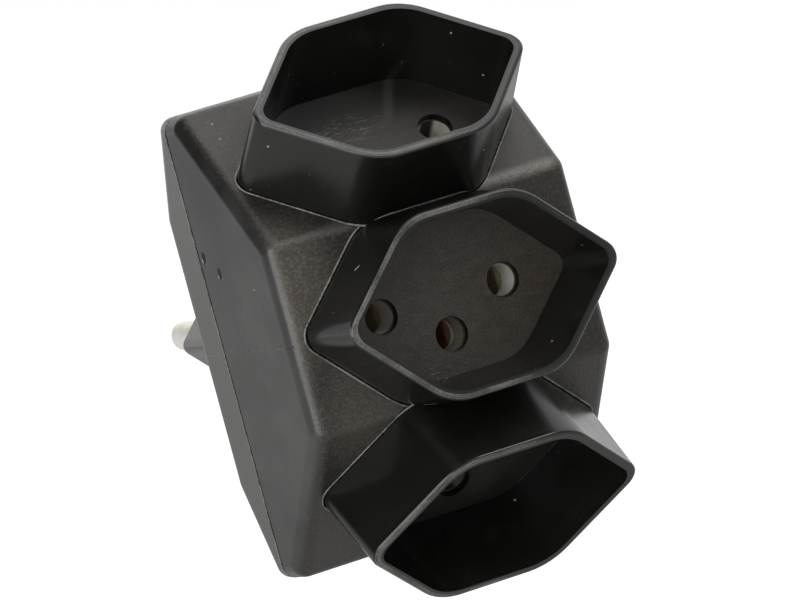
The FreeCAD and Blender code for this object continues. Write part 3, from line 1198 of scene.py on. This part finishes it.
@dataclass(frozen=True)
class SeamEdge:
    """Edge of the rear cover along the seam, which catches the light, with its highlight painted on a
    bead.
    """

    half_width: float = 23.56
    half_height: float = 32.26
    corner: float = 2.2
    behind_seam: float = 0.25
    radius: float = 0.095
    corner_steps: int = 10

    def build(self, material: bpy.types.Material) -> bpy.types.Object:
        """Makes the edge.

        Args:
            material: its finish.

        Returns:
            The edge.
        """
        path, outward = [], []
        depth = LINES.seam + self.behind_seam
        wide, tall = self.half_width - self.corner, self.half_height - self.corner
        for quarter, (side, level) in enumerate(((1, 1), (-1, 1), (-1, -1), (1, -1))):
            middle = Vector((side * wide, depth, level * tall))
            for step in range(self.corner_steps + 1):
                angle = math.pi / 2 * (quarter + step / self.corner_steps)
                out = Vector((math.cos(angle), 0.0, math.sin(angle)))
                path.append(middle + out * self.corner)
                outward.append(out)
        return Bead(path, outward, self.radius).build("seam_edge", material)


# Studio


@dataclass(frozen=True)
class Lamp:
    """Square soft lamp that faces the object, in metres and watts."""

    name: str
    place: Place
    size: float
    power: float
    target: Place = (0.0, -0.03, 0.0)

    def build(self) -> None:
        """Puts the lamp in its place."""
        data = bpy.data.lights.new(self.name, "AREA")
        data.shape = "SQUARE"
        data.size = self.size
        data.energy = self.power
        lamp = bpy.data.objects.new(self.name, data)
        lamp.location = self.place
        towards = Vector(self.target) - Vector(self.place)
        lamp.rotation_mode = "QUATERNION"
        lamp.rotation_quaternion = towards.to_track_quat("-Z", "Y")
        bpy.context.scene.collection.objects.link(lamp)


@dataclass(frozen=True)
class Camera:
    """Camera at the photograph's place, which is in metres, with its lens in millimetres."""

    place: Place = (-0.435083, -0.929080, 0.080726)
    right: Place = (0.8598349, -0.4404332, -0.2582685)
    down: Place = (-0.2670246, 0.0432370, -0.9627193)
    ahead: Place = (0.4351802, 0.8967437, -0.0804298)
    lens: float = 332.3
    sensor: float = 36.0
    clip: tuple[float, float] = (0.01, 50.0)

    def build(self) -> None:
        """Puts the camera in its place and makes it the scene's."""
        data = bpy.data.cameras.new("camera")
        data.lens = self.lens
        data.sensor_width = self.sensor
        data.clip_start, data.clip_end = self.clip
        camera = bpy.data.objects.new("camera", data)
        turn = Matrix((Vector(self.right), -Vector(self.down), -Vector(self.ahead))).transposed()
        camera.matrix_world = Matrix.Translation(self.place) @ turn.to_4x4()
        bpy.context.scene.collection.objects.link(camera)
        bpy.context.scene.camera = camera


def seen_rays(shader: Shader) -> Link:
    """1 for rays from the camera and through clear things."""
    camera = shader.node("ShaderNodeLightPath", output="Is Camera Ray")
    return camera.at_least(shader.node("ShaderNodeLightPath", output="Is Transmission Ray"))


def glossy_rays(shader: Shader) -> Link:
    """1 for rays reflected by glossy surfaces."""
    return shader.node("ShaderNodeLightPath", output="Is Glossy Ray")


@dataclass(frozen=True)
class Floor:
    """Plain pale floor that keeps a soft shadow and shows white to the camera and in reflections."""

    level: float = -0.30
    size: float = 12.0
    colour: Colour = (0.57, 0.57, 0.56)
    glow: float = 0.75
    glossy_share: float = 0.15

    def material(self) -> bpy.types.Material:
        """Matte paint with a glow that only the camera and reflections see.

        Returns:
            The material.
        """
        made, shader = new_material("pale floor")
        seen = seen_rays(shader).at_least(glossy_rays(shader) * self.glossy_share)
        matte = shader.node("ShaderNodeBsdfDiffuse", None, {"Color": self.colour})
        shine = {"Color": (1.0, 1.0, 1.0), "Strength": seen * self.glow}
        both = {0: matte, 1: shader.node("ShaderNodeEmission", None, shine)}
        shown = shader.node("ShaderNodeAddShader", None, both)
        shader.node("ShaderNodeOutputMaterial", None, {"Surface": shown})
        return made

    def build(self) -> None:
        """Lays the floor."""
        half = self.size / 2
        mesh = bpy.data.meshes.new("floor")
        corners = [(-half, -half, 0.0), (half, -half, 0.0), (half, half, 0.0), (-half, half, 0.0)]
        mesh.from_pydata(corners, [], [(0, 1, 2, 3)])
        mesh.materials.append(self.material())
        floor = bpy.data.objects.new("floor", mesh)
        floor.location.z = self.level
        bpy.context.scene.collection.objects.link(floor)
        log.info("floor")


@dataclass(frozen=True)
class Surroundings:
    """White for the camera, and a pale backdrop, a soft ceiling and a dim left side as light."""

    white: float = 1.0
    backdrop: float = 0.92
    front: float = 0.45
    ceiling: float = 0.90
    floor_dim: float = 0.20
    least: float = 0.05
    backward: Ramp = Ramp(-0.15, 0.45)
    upward: Ramp = Ramp(0.15, 0.85)
    downward: Ramp = Ramp(0.0, -0.8)
    dim_way: Place = (-0.80, 0.15, 0.58)
    dimmed: Ramp = Ramp(0.42, 0.85, 0.0, 0.95)

    def room(self, shader: Shader) -> Link:
        """Strength of the light.

        Args:
            shader: the world's graph.

        Returns:
            The strength by direction. The backdrop is white to glossy rays.
        """
        way = shader.node("ShaderNodeTexCoord", output="Generated")
        level = way.part("Z")
        backdrop = glossy_rays(shader) * (self.white - self.backdrop) + self.backdrop
        strength = (backdrop - self.front) * self.backward.of(way.part("Y")) + self.front
        strength = strength + self.upward.of(level) * (self.ceiling - self.front)
        strength = strength - self.downward.of(level) * self.floor_dim
        dim = self.dimmed.of(way.dot(Vector(self.dim_way).normalized()))
        return (strength * (1 - dim)).at_least(self.least)

    def build(self) -> None:
        """Makes the world."""
        world = bpy.data.worlds.new("studio")
        world.use_nodes = True
        bpy.context.scene.world = world
        shader = Shader(world.node_tree)
        room = self.room(shader)
        strength = room + (self.white - room) * seen_rays(shader)
        light = {"Color": (1.0, 1.0, 1.0), "Strength": strength}
        shown = shader.node("ShaderNodeBackground", None, light)
        shader.node("ShaderNodeOutputWorld", None, {"Surface": shown})


@dataclass(frozen=True)
class Studio:
    """Everything round the object."""

    lamps: tuple[Lamp, ...] = (
        Lamp("top lamp", (0.30, -0.40, 1.3), 0.8, 3.6),
        Lamp("left lamp", (-1.10, -0.78, 0.16), 1.15, 16.0),
        Lamp("fold lamp", (0.57, -0.85, 0.80), 0.40, 3.2),
    )

    def build(self) -> None:
        """Sets up the floor, the surroundings, the lamps and the camera."""
        Floor().build()
        Surroundings().build()
        for lamp in self.lamps:
            lamp.build()
        Camera().build()
        bpy.context.scene.view_settings.view_transform = "Standard"


def main() -> None:
    """Builds the dressed adapter and its studio."""
    logging.basicConfig(level=logging.INFO, format="%(message)s")
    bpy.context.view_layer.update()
    finishes = Finishes()
    finishes.build()
    finishes.dress_solids()
    # The opening edges, junction lines and seam edge are beads with a painted highlight.
    for tilt in Tilt:
        CollarLips().build(tilt, finishes.rims[tilt])
        OpeningEdges().build(tilt, finishes.painted_edge_highlight)
    for tilt in (Tilt.TOP, Tilt.BOTTOM):
        JunctionLine().build(tilt, finishes.painted_edge_highlight)
    SeamEdge().build(finishes.painted_edge_highlight)
    Studio().build()


if __name__ == "__main__":
    main()
